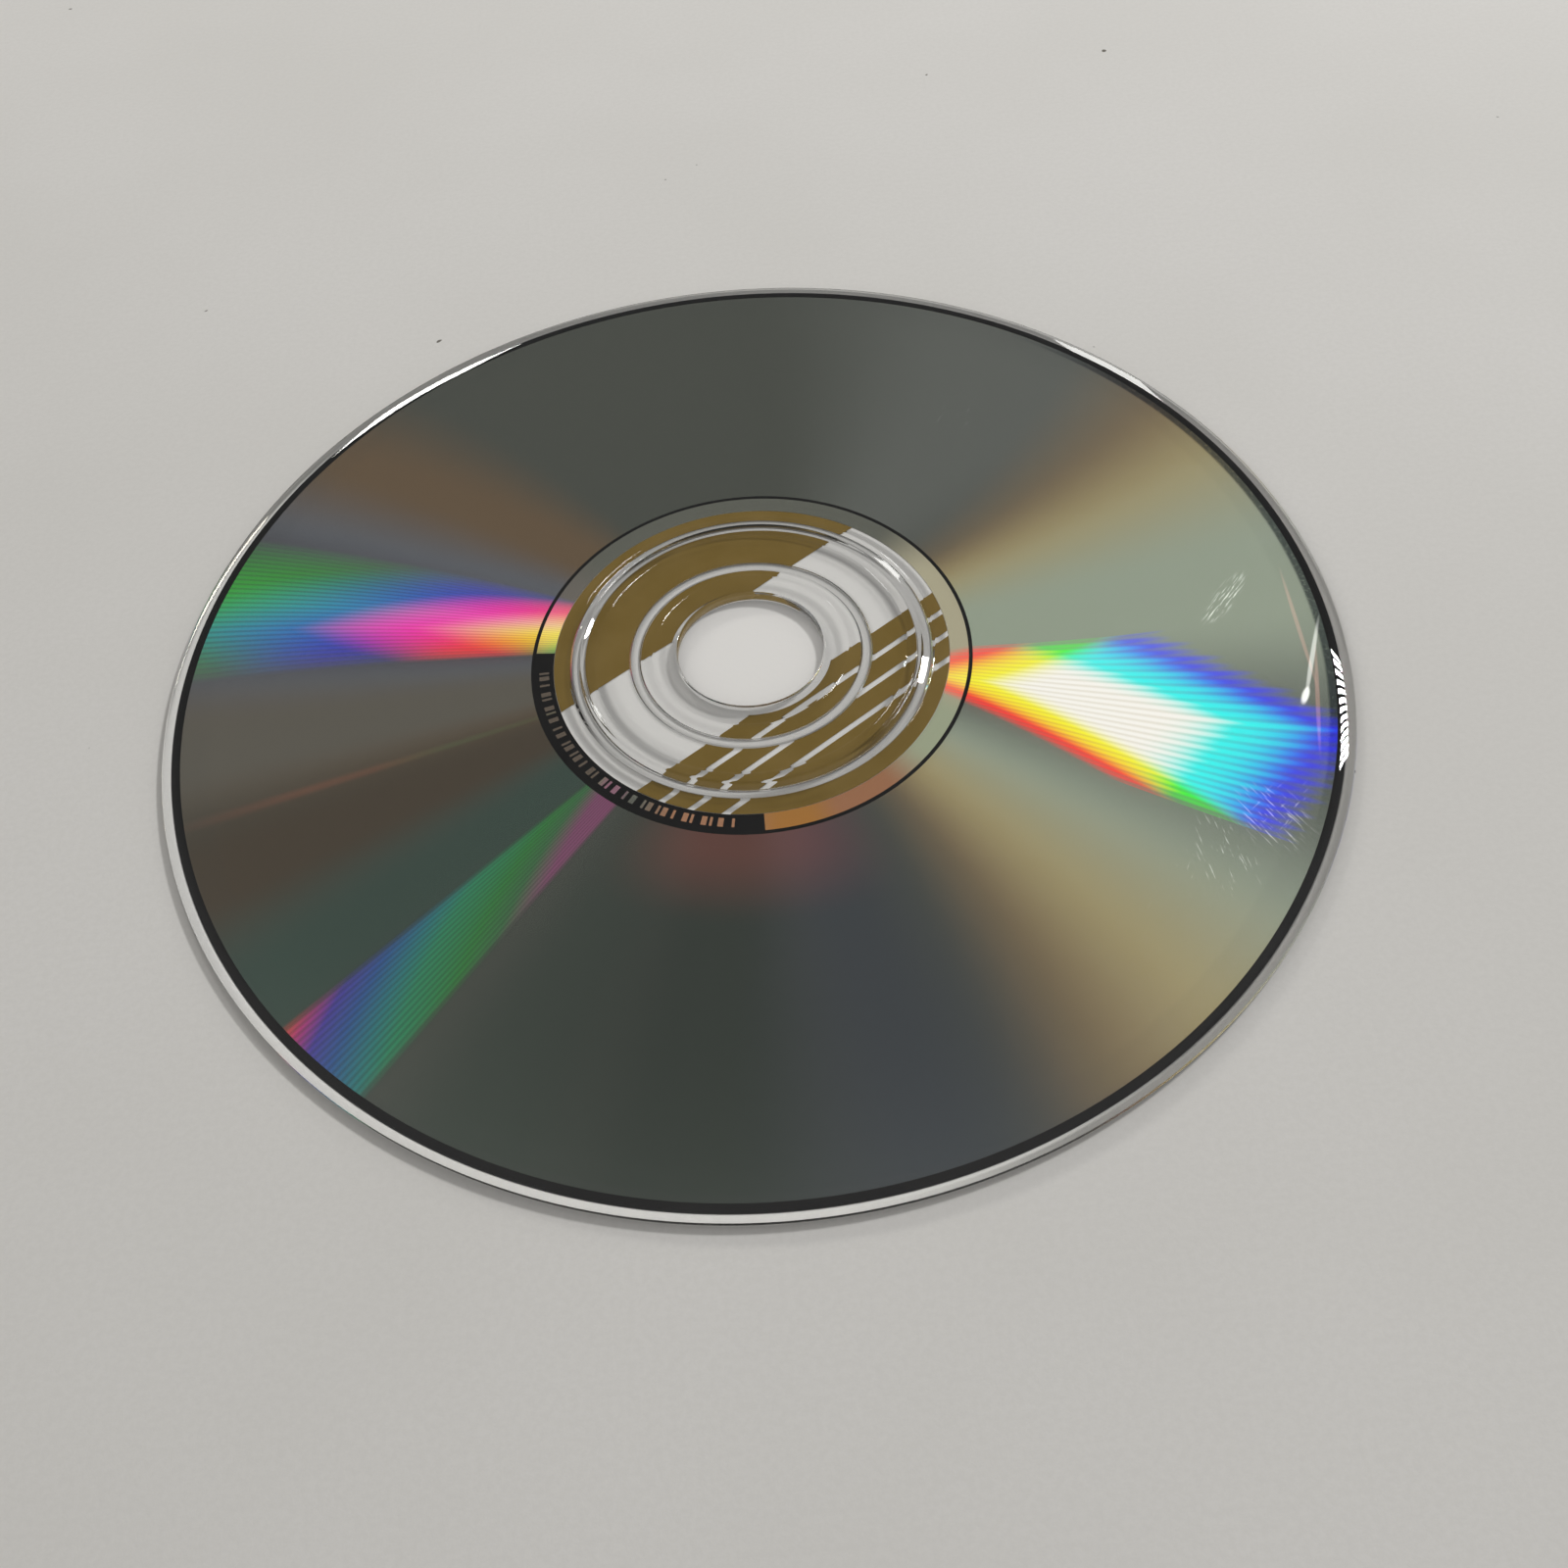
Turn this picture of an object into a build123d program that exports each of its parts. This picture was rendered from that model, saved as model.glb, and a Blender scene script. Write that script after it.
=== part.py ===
from build123d import *
import os

# Rewritable compact disc, lying with its printed side down and its read side up.
# Millimetres, +Z up, origin on the disc's axis at the underside of the printed label.

# Standard sizes of the disc
disc_diameter = 120.0
hole_diameter = 15.0
substrate_thickness = 1.2

# Bevelled edges of the moulding
rim_bevel = 0.2
hole_bevel = 0.2

# Stacking ring, a low rounded ridge on the read side
stack_ring_radius = 17.3
stack_ring_width = 1.6
stack_ring_height = 0.25

# Two shallow grooves that the mould leaves in the label side, each with sloping walls
inner_groove_radius = 11.95
inner_groove_width = 1.1
outer_groove_radius = 18.0
outer_groove_width = 1.2
groove_depth = 0.15
groove_wall_angle = 60.0

# Layers under the substrate
ink_thickness = 0.02
film_thickness = 0.02

# Rings of metal and ink, from the rim inwards
clear_rim_width = 1.0
outer_ink_width = 0.8
recording_inner_radius = 22.7
inner_ink_width = 0.4
mirror_band_width = 1.9

# Bar code window in the mirror band
window_start_angle = 174.0
window_end_angle = 270.0
bar_start_angle = 181.0
bar_module_angle = 0.72
bar_count = 33
bar_margin = 0.45

# Ochre fields printed on the clear hub
hub_print_inner_radius = 8.4
print_clearance = 0.05
clear_band_angle = 35.0
clear_band_width = 13.0
pinstripe_count = 3
pinstripe_pitch = 2.6
pinstripe_width = 0.6

# Radii and heights that follow from the sizes above
disc_radius = disc_diameter / 2
hole_radius = hole_diameter / 2
label_outer_radius = disc_radius - clear_rim_width
recording_outer_radius = label_outer_radius - outer_ink_width
mirror_outer_radius = recording_inner_radius - inner_ink_width
mirror_inner_radius = mirror_outer_radius - mirror_band_width
film_bottom = ink_thickness
substrate_bottom = film_bottom + film_thickness
read_face = substrate_bottom + substrate_thickness
film_plane = Plane.XY.offset(film_bottom)
label_grooves = [(outer_groove_radius, outer_groove_width), (inner_groove_radius, inner_groove_width)]

# Bar code window, an arc across the whole mirror band
with BuildSketch() as window:
    with BuildLine():
        window_sweep = window_end_angle - window_start_angle
        window_outside = CenterArc((0, 0), mirror_outer_radius, window_start_angle, window_sweep)
        window_inside = CenterArc((0, 0), mirror_inner_radius, window_start_angle, window_sweep)
        Line(window_outside @ 0, window_inside @ 0)
        Line(window_outside @ 1, window_inside @ 1)
    make_face()

# Plain bars of one and two modules with gaps of one to three, which spell nothing
with BuildSketch() as bars:
    bar_angle = bar_start_angle
    for index in range(bar_count):
        bar_sweep = bar_module_angle * (1 + index % 2)
        with BuildLine():
            bar_outside = CenterArc((0, 0), mirror_outer_radius - bar_margin, bar_angle, bar_sweep)
            bar_inside = CenterArc((0, 0), mirror_inner_radius + bar_margin, bar_angle, bar_sweep)
            Line(bar_outside @ 0, bar_inside @ 0)
            Line(bar_outside @ 1, bar_inside @ 1)
        make_face()
        bar_angle += bar_sweep + bar_module_angle * (1 + (index + index // 4) % 3)

# Clear polycarbonate moulding, one turned section
with BuildPart() as substrate:
    with BuildSketch(Plane.XZ) as section:
        with Locations((hole_radius, substrate_bottom)):
            Rectangle(disc_radius - hole_radius, substrate_thickness, align=(Align.MIN, Align.MIN))
        chamfer(section.vertices().group_by(Axis.X)[-1], rim_bevel)
        chamfer(section.vertices().group_by(Axis.X)[0], hole_bevel)
        with BuildLine():
            ring_foot_inside = (stack_ring_radius - stack_ring_width / 2, read_face)
            ring_foot_outside = (stack_ring_radius + stack_ring_width / 2, read_face)
            SagittaArc(ring_foot_inside, ring_foot_outside, stack_ring_height)
            Line(ring_foot_outside, ring_foot_inside)
        make_face()
        for radius, width in label_grooves:
            with Locations((radius, substrate_bottom)):
                Trapezoid(
                    width,
                    groove_depth,
                    groove_wall_angle,
                    align=(Align.CENTER, Align.MIN),
                    mode=Mode.SUBTRACT,
                )
    revolve(axis=Axis.Z)
substrate.part.label = "substrate"

# Recording film with its lacquer
with BuildPart() as recording_layer:
    with BuildSketch(film_plane):
        Circle(recording_outer_radius)
        Circle(recording_inner_radius, mode=Mode.SUBTRACT)
    extrude(amount=film_thickness)
recording_layer.part.label = "recording_layer"

# Metal band inside the recording film, with the bars left standing in its window
with BuildPart() as mirror_band:
    with BuildSketch(film_plane):
        Circle(mirror_outer_radius)
        Circle(mirror_inner_radius, mode=Mode.SUBTRACT)
        add(window.sketch, mode=Mode.SUBTRACT)
        add(bars.sketch)
    extrude(amount=film_thickness)
mirror_band.part.label = "mirror_band"

# Black label ink, which also fills the places that the metal leaves free
with BuildPart() as label_print:
    with BuildSketch(Plane.XY):
        Circle(label_outer_radius)
        Circle(mirror_inner_radius, mode=Mode.SUBTRACT)
    extrude(amount=ink_thickness)
    with BuildSketch(film_plane):
        Circle(label_outer_radius)
        Circle(recording_outer_radius, mode=Mode.SUBTRACT)
        Circle(recording_inner_radius)
        Circle(mirror_outer_radius, mode=Mode.SUBTRACT)
        add(window.sketch)
        add(bars.sketch, mode=Mode.SUBTRACT)
    extrude(amount=film_thickness)
label_print.part.label = "label_print"

# The ink skips both grooves, with a clearance to each side
with BuildSketch() as bare_rings:
    for radius, width in label_grooves:
        Circle(radius + width / 2 + print_clearance)
        Circle(radius - width / 2 - print_clearance, mode=Mode.SUBTRACT)

# Ochre fields on both sides of a clear diagonal band, within the mirror band
with BuildPart() as hub_print:
    with BuildSketch(film_plane):
        Circle(mirror_inner_radius - print_clearance)
        Circle(hub_print_inner_radius, mode=Mode.SUBTRACT)
        add(bare_rings.sketch, mode=Mode.SUBTRACT)
        Rectangle(
            clear_band_width,
            2 * mirror_inner_radius,
            rotation=clear_band_angle - 90,
            mode=Mode.SUBTRACT,
        )
        for index in range(1, pinstripe_count + 1):
            stripe_distance = clear_band_width / 2 + pinstripe_pitch * index
            with PolarLocations(stripe_distance, 1, start_angle=clear_band_angle - 90):
                Rectangle(pinstripe_width, 2 * mirror_inner_radius, mode=Mode.SUBTRACT)
    extrude(amount=ink_thickness)
hub_print.part.label = "hub_print"

os.makedirs("parts", exist_ok=True)
export_step(substrate.part, "parts/substrate.step")
export_step(recording_layer.part, "parts/recording_layer.step")
export_step(mirror_band.part, "parts/mirror_band.step")
export_step(label_print.part, "parts/label_print.step")
export_step(hub_print.part, "parts/hub_print.step")
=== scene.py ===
from math import cos, pi, radians, sin, sqrt, tan

import bpy
from mathutils import Matrix, Vector


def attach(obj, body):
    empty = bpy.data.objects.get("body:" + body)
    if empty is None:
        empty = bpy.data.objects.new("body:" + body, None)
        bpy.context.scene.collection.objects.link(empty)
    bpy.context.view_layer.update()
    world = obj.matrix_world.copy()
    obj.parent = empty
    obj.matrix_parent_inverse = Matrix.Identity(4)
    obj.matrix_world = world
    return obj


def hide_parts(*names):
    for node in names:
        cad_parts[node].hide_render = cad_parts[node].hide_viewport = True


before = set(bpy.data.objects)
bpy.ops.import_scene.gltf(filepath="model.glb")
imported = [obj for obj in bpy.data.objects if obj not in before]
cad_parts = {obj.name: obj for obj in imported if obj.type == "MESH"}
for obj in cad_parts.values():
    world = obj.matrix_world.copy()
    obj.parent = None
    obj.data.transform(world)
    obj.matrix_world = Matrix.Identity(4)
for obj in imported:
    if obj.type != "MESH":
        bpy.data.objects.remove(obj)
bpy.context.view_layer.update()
scene = bpy.context.scene
mm = 0.001  # sizes below are in millimetres, angles in degrees
sink = 0.005  # printed and metal faces sit this far inside the plastic, so that no two faces share a place
mergeDistance = 0.0005 * mm
halfTurn, fullTurn = 180.0, 360.0
print("frame loaded")


# camera at the photograph's viewing angle
cameraSettings = {
    "position": (2.148, -101.68, 117.6),
    "lens": 34.436, "sensor": 36, "nearest": 0.01,  # the last one in metres
    "tilt": 54.164,  # of the line of sight, down from level
    "roll": -5.268,
}


def makeCamera(settings):
    bpy.ops.object.camera_add()
    camera = bpy.context.object
    camera.name = "photoCamera"
    tilt, roll = radians(settings["tilt"]), radians(settings["roll"])
    back = Vector((0, -cos(tilt), sin(tilt)))
    right = Vector((1, 0, 0))
    up = back.cross(right)
    turnedRight = cos(roll) * right + sin(roll) * up
    turnedUp = cos(roll) * up - sin(roll) * right
    pose = Matrix((turnedRight, turnedUp, back)).transposed().to_4x4()
    pose.translation = Vector(settings["position"]) * mm
    camera.matrix_world = pose
    camera.data.sensor_width = settings["sensor"]
    camera.data.lens = settings["lens"]
    camera.data.clip_start = settings["nearest"]
    return camera


scene.camera = makeCamera(cameraSettings)
print("camera set")


# helpers for modelling
def clearSelection():
    bpy.ops.object.select_all(action="DESELECT")


def pickOnly(*pieces):
    clearSelection()
    for piece in pieces:
        piece.select_set(True)
    bpy.context.view_layer.objects.active = pieces[0]


def applyPlace():
    bpy.ops.object.transform_apply(location=True, rotation=True, scale=True)


def startEdit():
    bpy.ops.object.mode_set(mode="EDIT")
    bpy.ops.mesh.select_all(action="SELECT")


def endEdit():
    bpy.ops.object.mode_set(mode="OBJECT")


def mergeDoubles():
    bpy.ops.mesh.select_all(action="SELECT")
    bpy.ops.mesh.remove_doubles(threshold=mergeDistance)


def turnedRing(name, section, segments, closed=True):
    # a circle at the first point of the section, extruded from point to point
    clearSelection()
    radius, height = section[0]
    bpy.ops.mesh.primitive_circle_add(vertices=segments, radius=radius * mm, location=(0, 0, height * mm))
    ring = bpy.context.object
    ring.name = ring.data.name = name
    applyPlace()
    startEdit()
    for nextRadius, nextHeight in section[1:] + (section[:1] if closed else []):
        bpy.ops.mesh.extrude_edges_move()
        factor = nextRadius / radius
        bpy.ops.transform.resize(value=(factor, factor, 1), center_override=(0, 0, 0))
        bpy.ops.transform.translate(value=(0, 0, (nextHeight - height) * mm))
        radius, height = nextRadius, nextHeight
    mergeDoubles()
    if closed:
        bpy.ops.mesh.normals_make_consistent(inside=False)
    endEdit()
    return ring


def arcPlate(name, inner, outer, bottom, top, start, sweep, steps):
    # an upright rectangle, spun round the disc's axis
    clearSelection()
    middle, level = (inner + outer) / 2 * mm, (bottom + top) / 2 * mm
    bpy.ops.mesh.primitive_plane_add(size=1, location=(middle, 0, level), rotation=(pi / 2, 0, 0))
    plate = bpy.context.object
    plate.name = plate.data.name = name
    plate.scale = ((outer - inner) * mm, (top - bottom) * mm, 1)
    applyPlace()
    plate.rotation_euler = (0, 0, radians(start))
    applyPlace()
    startEdit()
    # with no window a spin turns the other way, hence the minus
    bpy.ops.mesh.spin(steps=steps, angle=-radians(sweep), center=(0, 0, 0), axis=(0, 0, 1))
    mergeDoubles()
    bpy.ops.mesh.normals_make_consistent(inside=False)
    endEdit()
    return plate


def copyTurned(piece, angle):
    pickOnly(piece)
    bpy.ops.object.duplicate(linked=False)
    turned = bpy.context.object
    turned.rotation_euler = (0, 0, radians(angle))
    applyPlace()
    return turned


def joinPieces(pieces):
    pickOnly(*pieces)
    bpy.ops.object.join()
    return bpy.context.object


def addModifier(piece, kind, **settings):
    pickOnly(piece)
    modifier = piece.modifiers.new(kind.title(), kind)
    for name, value in settings.items():
        setattr(modifier, name, value)
    bpy.ops.object.modifier_apply(modifier=modifier.name)


def smoothShade(piece, angle):
    pickOnly(piece)
    bpy.ops.object.shade_smooth_by_angle(angle=radians(angle))


# helpers for materials
def tone(red, green, blue):
    # a screen colour from 0 to 255 as scene light, by the sRGB curve
    light = []
    for part in (red, green, blue):
        share = part / 255
        light.append(share / 12.92 if share < 0.04045 else ((share + 0.055) / 1.055) ** 2.4)
    return (*light, 1.0)


def addNode(tree, kind, **settings):
    item = tree.nodes.new(kind)
    for name, value in settings.items():
        setattr(item, name, value)
    return item


def feed(tree, socket, value):
    if isinstance(value, bpy.types.NodeSocket):
        tree.links.new(value, socket)
    else:
        socket.default_value = value


def setInputs(tree, item, **values):
    for label, value in values.items():
        feed(tree, item.inputs[label.replace("_", " ")], value)


def maths(tree, operation, first, second=None, third=None):
    item = addNode(tree, "ShaderNodeMath", operation=operation)
    for socket, value in zip(item.inputs, (first, second, third)):
        if value is not None:
            feed(tree, socket, value)
    return item.outputs[0]


def vectors(tree, operation, first, second=None, scale=None):
    item = addNode(tree, "ShaderNodeVectorMath", operation=operation)
    feed(tree, item.inputs[0], first)
    if second is not None:
        feed(tree, item.inputs[1], second)
    if scale is not None:
        feed(tree, item.inputs["Scale"], scale)
    return item.outputs["Value" if operation in ("DOT_PRODUCT", "LENGTH") else "Vector"]


def ramp(tree, value, low, high, toLow=0.0, toHigh=1.0, kind="SMOOTHSTEP", clamp=True):
    item = addNode(tree, "ShaderNodeMapRange", interpolation_type=kind)
    if kind == "LINEAR":
        item.clamp = clamp
    labels = ("Value", "From Min", "From Max", "To Min", "To Max")
    for label, amount in zip(labels, (value, low, high, toLow, toHigh)):
        feed(tree, item.inputs[label], amount)
    return item.outputs["Result"]


def mixColour(tree, factor, first, second, blend="MIX"):
    item = addNode(tree, "ShaderNodeMix", data_type="RGBA", blend_type=blend)
    feed(tree, item.inputs[0], factor)
    feed(tree, item.inputs[6], first)
    feed(tree, item.inputs[7], second)
    return item.outputs[2]


def setStops(colours, stops):
    points = colours.elements
    points[0].position, points[-1].position = stops[0][0], stops[-1][0]
    for place, _ in stops[1:-1]:
        points.new(place)
    for point, (_, colour) in zip(points, stops):
        point.color = tone(*colour)


def noise(tree, vector, scale, detail=2.0, roughness=0.5):
    item = addNode(tree, "ShaderNodeTexNoise")
    setInputs(tree, item, Vector=vector, Scale=scale, Detail=detail, Roughness=roughness)
    return item.outputs["Fac"]


def splitParts(tree, vector):
    split = addNode(tree, "ShaderNodeSeparateXYZ")
    feed(tree, split.inputs[0], vector)
    return list(split.outputs)


def joinParts(tree, *parts):
    joined = addNode(tree, "ShaderNodeCombineXYZ")
    for socket, part in zip(joined.inputs, parts):
        feed(tree, socket, part)
    return joined.outputs[0]


def millimetres(tree):
    return vectors(tree, "SCALE", addNode(tree, "ShaderNodeTexCoord").outputs["Object"], scale=1 / mm)


def facingUp(tree):
    # 1 where the face looks up, -1 where it looks down
    return splitParts(tree, addNode(tree, "ShaderNodeNewGeometry").outputs["Normal"])[2]


def addBump(tree, surface, height, strength, distance):
    bump = addNode(tree, "ShaderNodeBump")
    setInputs(tree, bump, Strength=strength, Distance=distance * mm, Height=height)
    feed(tree, surface.inputs["Normal"], bump.outputs[0])


def newGroup(name, inputs, outputs):
    group = bpy.data.node_groups.new(name, "ShaderNodeTree")
    for label, kind, value in inputs:
        socket = group.interface.new_socket(label, in_out="INPUT", socket_type="NodeSocket" + kind)
        socket.default_value = value
    for label, kind in outputs:
        group.interface.new_socket(label, in_out="OUTPUT", socket_type="NodeSocket" + kind)
    return group, addNode(group, "NodeGroupInput").outputs, addNode(group, "NodeGroupOutput").inputs


def useGroup(tree, group, **values):
    item = addNode(tree, "ShaderNodeGroup", node_tree=group)
    setInputs(tree, item, **values)
    return item.outputs


def newMaterial(name):
    material = bpy.data.materials.new(name)
    material.use_nodes = True
    return material, material.node_tree, material.node_tree.nodes["Principled BSDF"]


# effects that more than one material uses
def buildPolar():
    # radius in millimetres and angle in degrees, counted from +X
    tree, _, made = newGroup("Polar place", [], [("Radius", "Float"), ("Angle", "Float")])
    place = millimetres(tree)
    eastward, northward, _ = splitParts(tree, place)
    turn = maths(tree, "MULTIPLY", maths(tree, "ARCTAN2", northward, eastward), halfTurn / pi)
    feed(tree, made["Radius"], vectors(tree, "LENGTH", vectors(tree, "MULTIPLY", place, (1, 1, 0))))
    feed(tree, made["Angle"], maths(tree, "FLOORED_MODULO", turn, fullTurn))
    return tree


polarPlace = buildPolar()

fanSettings = {
    "focus": (2.148, -101.68, 117.0),  # the fans are those that a lamp throws towards this point
    "lamp": {"centre": (562.6, 482.3, 665.9), "halfWidth": (-55.3, 98.1, 0), "halfDepth": (96.6, 92.6, 0)},
    "trackPitch": 1.6,  # in thousandths of a millimetre, as are the wavelengths
    "lowWave": (0.558, 0.459, 0.414),
    "highWave": (0.645, 0.584, 0.489),
    "orders": (1, 2, 3),
    "rowEdges": (0.6, -1.0),  # a row of the fan dims between these parts of its wave
}


def lampCorner(lamp, across, down):
    centre, halfWidth, halfDepth = (Vector(lamp[part]) for part in ("centre", "halfWidth", "halfDepth"))
    return tuple(centre + across * halfWidth + down * halfDepth)


def buildFan(settings):
    # A grating's colours. The tracks send a lamp's light to the focus where its tangential parts cancel,
    # and the radial parts left over set the wavelength, between those of the two edges crossed.
    corners = [lampCorner(settings["lamp"], *signs) for signs in ((-1, -1), (1, -1), (1, 1), (-1, 1))]
    tree, given, made = newGroup(
        "Rainbow fan",
        [(f"Corner {k + 1}", "Vector", corner) for k, corner in enumerate(corners)]
        + [(f"Order {order}", "Float", 0.0) for order in settings["orders"]]
        + [("Rows", "Float", 24.0), ("Row depth", "Float", 0.5), ("Row reach", "Float", 0.01),
           ("Tint", "Vector", (1, 1, 1))],
        [("Colour", "Color")],
    )
    place = millimetres(tree)
    outward = vectors(tree, "NORMALIZE", vectors(tree, "MULTIPLY", place, (1, 1, 0)))
    along = vectors(tree, "CROSS_PRODUCT", (0, 0, 1), outward)
    toFocus = vectors(tree, "NORMALIZE", vectors(tree, "SUBTRACT", settings["focus"], place))
    side, path = [], []
    for k in range(4):
        toLamp = vectors(tree, "NORMALIZE", vectors(tree, "SUBTRACT", given[f"Corner {k + 1}"], place))
        total = vectors(tree, "ADD", toLamp, toFocus)
        side.append(vectors(tree, "DOT_PRODUCT", total, along))
        path.append(vectors(tree, "DOT_PRODUCT", total, outward))
    farOff = 9.0  # more than any edge can reach
    low, high = farOff, 0.0
    for k in range(4):
        n = (k + 1) % 4
        share = maths(tree, "DIVIDE", side[k], maths(tree, "SUBTRACT", side[k], side[n]))
        crossed = maths(tree, "LESS_THAN", maths(tree, "MULTIPLY", side[k], side[n]), 0.0)
        reach = maths(tree, "ABSOLUTE", ramp(tree, share, 0.0, 1.0, path[k], path[n], "LINEAR", clamp=False))
        skipped = maths(tree, "MULTIPLY_ADD", crossed, -farOff, farOff)
        high = maths(tree, "MAXIMUM", high, maths(tree, "MULTIPLY", reach, crossed))
        low = maths(tree, "MINIMUM", low, maths(tree, "ADD", reach, skipped))
    most, least = side[0], side[0]
    for amount in side[1:]:
        most, least = maths(tree, "MAXIMUM", most, amount), maths(tree, "MINIMUM", least, amount)
    lit = maths(tree, "GREATER_THAN", high, 0.0)
    row = maths(tree, "DIVIDE", most, maths(tree, "SUBTRACT", most, least))
    rowTurn = maths(tree, "MULTIPLY", maths(tree, "MULTIPLY", row, given["Rows"]), 2 * pi)
    wave = maths(tree, "COSINE", rowTurn)
    pairWave = maths(tree, "COSINE", maths(tree, "MULTIPLY", rowTurn, 0.5))
    dim = maths(tree, "MULTIPLY", ramp(tree, wave, *settings["rowEdges"]), given["Row depth"])
    bright = maths(tree, "MULTIPLY", maths(tree, "SUBTRACT", 1.0, dim), lit)
    teeth = maths(tree, "MULTIPLY", maths(tree, "ADD", wave, pairWave), given["Row reach"])
    high = maths(tree, "ADD", high, teeth)  # a row's light ends in a tip
    light = (0.0, 0.0, 0.0)
    for order in settings["orders"]:
        bands = []
        for limit in (high, low):
            item = addNode(tree, "ShaderNodeMapRange", data_type="FLOAT_VECTOR",
                           interpolation_type="SMOOTHSTEP")
            feed(tree, item.inputs["Vector"], maths(tree, "MULTIPLY", limit, settings["trackPitch"] / order))
            item.inputs[7].default_value = settings["lowWave"]
            item.inputs[8].default_value = settings["highWave"]
            bands.append(item.outputs["Vector"])
        band = vectors(tree, "SCALE", vectors(tree, "SUBTRACT", *bands), scale=given[f"Order {order}"])
        light = vectors(tree, "ADD", light, band)
    light = vectors(tree, "MULTIPLY", vectors(tree, "SCALE", light, scale=bright), given["Tint"])
    filled = []
    for part in splitParts(tree, vectors(tree, "MAXIMUM", light, (0, 0, 0))):  # a colour fills up gently
        left = maths(tree, "EXPONENT", maths(tree, "MULTIPLY", part, -1.0))
        filled.append(maths(tree, "SUBTRACT", 1.0, left))
    feed(tree, made["Colour"], joinParts(tree, *filled))
    return tree


rainbowFan = buildFan(fanSettings)
spreadFrom = 40.0  # radius where a sector has its own half width


def buildSector():
    # A soft-edged sector, from 0 outside to 1 inside. Spread widens it towards the rim, in degrees for
    # each millimetre, and Offset is the angle from its middle.
    tree, given, made = newGroup(
        "Soft sector",
        [("Middle", "Float", 0.0), ("Half width", "Float", 10.0), ("Softness", "Float", 8.0),
         ("Spread", "Float", 0.0)],
        [("Mask", "Float"), ("Radius", "Float"), ("Offset", "Float")],
    )
    polar = useGroup(tree, polarPlace)
    turned = maths(tree, "SUBTRACT", polar["Angle"], given["Middle"])
    shifted = maths(tree, "ADD", turned, fullTurn + halfTurn)
    offset = maths(tree, "SUBTRACT", maths(tree, "FLOORED_MODULO", shifted, fullTurn), halfTurn)
    past = maths(tree, "SUBTRACT", polar["Radius"], spreadFrom)
    half = maths(tree, "MULTIPLY_ADD", past, given["Spread"], given["Half width"])
    inner = maths(tree, "SUBTRACT", half, given["Softness"])
    outer = maths(tree, "ADD", half, given["Softness"])
    feed(tree, made["Mask"], ramp(tree, maths(tree, "ABSOLUTE", offset), inner, outer, 1.0, 0.0))
    feed(tree, made["Radius"], polar["Radius"])
    feed(tree, made["Offset"], offset)
    return tree


softSector = buildSector()

strokeSettings = {
    "border": (0.25, 0.55),  # share of the patch's length and width where its strokes thin out
    "stretch": 0.35, "detail": 3.0, "roughness": 0.6,
    "cut": 0.72, "amountLowers": 0.25, "edge": 0.06,  # noise above the cut shows as a stroke
}


def buildScuff(settings):
    # a patch of fine strokes: its own axes, a soft border and stretched noise cut to thin lines
    tree, given, made = newGroup(
        "Scuff",
        [("Centre", "Vector", (0, 0, 0)), ("Turn", "Float", 0.0), ("Length", "Float", 6.0),
         ("Width", "Float", 3.0), ("Fineness", "Float", 8.0), ("Amount", "Float", 0.5)],
        [("Mask", "Float")],
    )
    turned = addNode(tree, "ShaderNodeVectorRotate", rotation_type="Z_AXIS")
    feed(tree, turned.inputs["Vector"], vectors(tree, "SUBTRACT", millimetres(tree), given["Centre"]))
    feed(tree, turned.inputs["Angle"], maths(tree, "MULTIPLY", given["Turn"], -pi / halfTurn))
    along, across, _ = splitParts(tree, turned.outputs[0])
    alongShare = maths(tree, "DIVIDE", along, given["Length"])
    acrossShare = maths(tree, "DIVIDE", across, given["Width"])
    squares = [maths(tree, "MULTIPLY", share, share) for share in (alongShare, acrossShare)]
    spread = maths(tree, "SQRT", maths(tree, "ADD", *squares))
    patch = ramp(tree, spread, *settings["border"], 1.0, 0.0)
    stretched = joinParts(
        tree,
        maths(tree, "MULTIPLY", along, settings["stretch"]),
        maths(tree, "MULTIPLY", across, given["Fineness"]),
    )
    strokes = noise(tree, stretched, 1.0, settings["detail"], settings["roughness"])
    lowered = maths(tree, "MULTIPLY", given["Amount"], settings["amountLowers"])
    cut = maths(tree, "SUBTRACT", settings["cut"], lowered)
    lines = ramp(tree, strokes, cut, maths(tree, "ADD", cut, settings["edge"]))
    feed(tree, made["Mask"], maths(tree, "MULTIPLY", patch, lines))
    return tree


scuff = buildScuff(strokeSettings)
print("node groups built")


# paper floor and studio light
floorSettings = {
    "size": 3.0, "level": -0.02,  # metres across, and millimetres from the disc's underside
    "colour": tone(233, 231, 227), "roughness": 0.85, "gloss": 0.2,
    "clouds": {
        "colour": tone(222, 220, 214), "scale": 0.02, "detail": 3.0, "range": (0.3, 0.7), "depth": 0.35,
    },
    "fibres": {
        "colour": tone(220, 218, 213), "scale": 1.6, "detail": 6.0, "roughness": 0.7, "range": (0.35, 0.65),
        "depth": 0.3, "bumpStrength": 0.4, "bumpHeight": 0.05,
    },
    "specks": {"colour": tone(120, 116, 108), "scale": 0.35, "detail": 1.0, "range": (0.80, 0.82)},
    # painted light: the paper is painted lighter around the hub, as a pool of light under it
    "middle": {"colour": tone(249, 247, 243), "radii": (20.0, 40.0)},  # it is lighter under the hub
}
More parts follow.
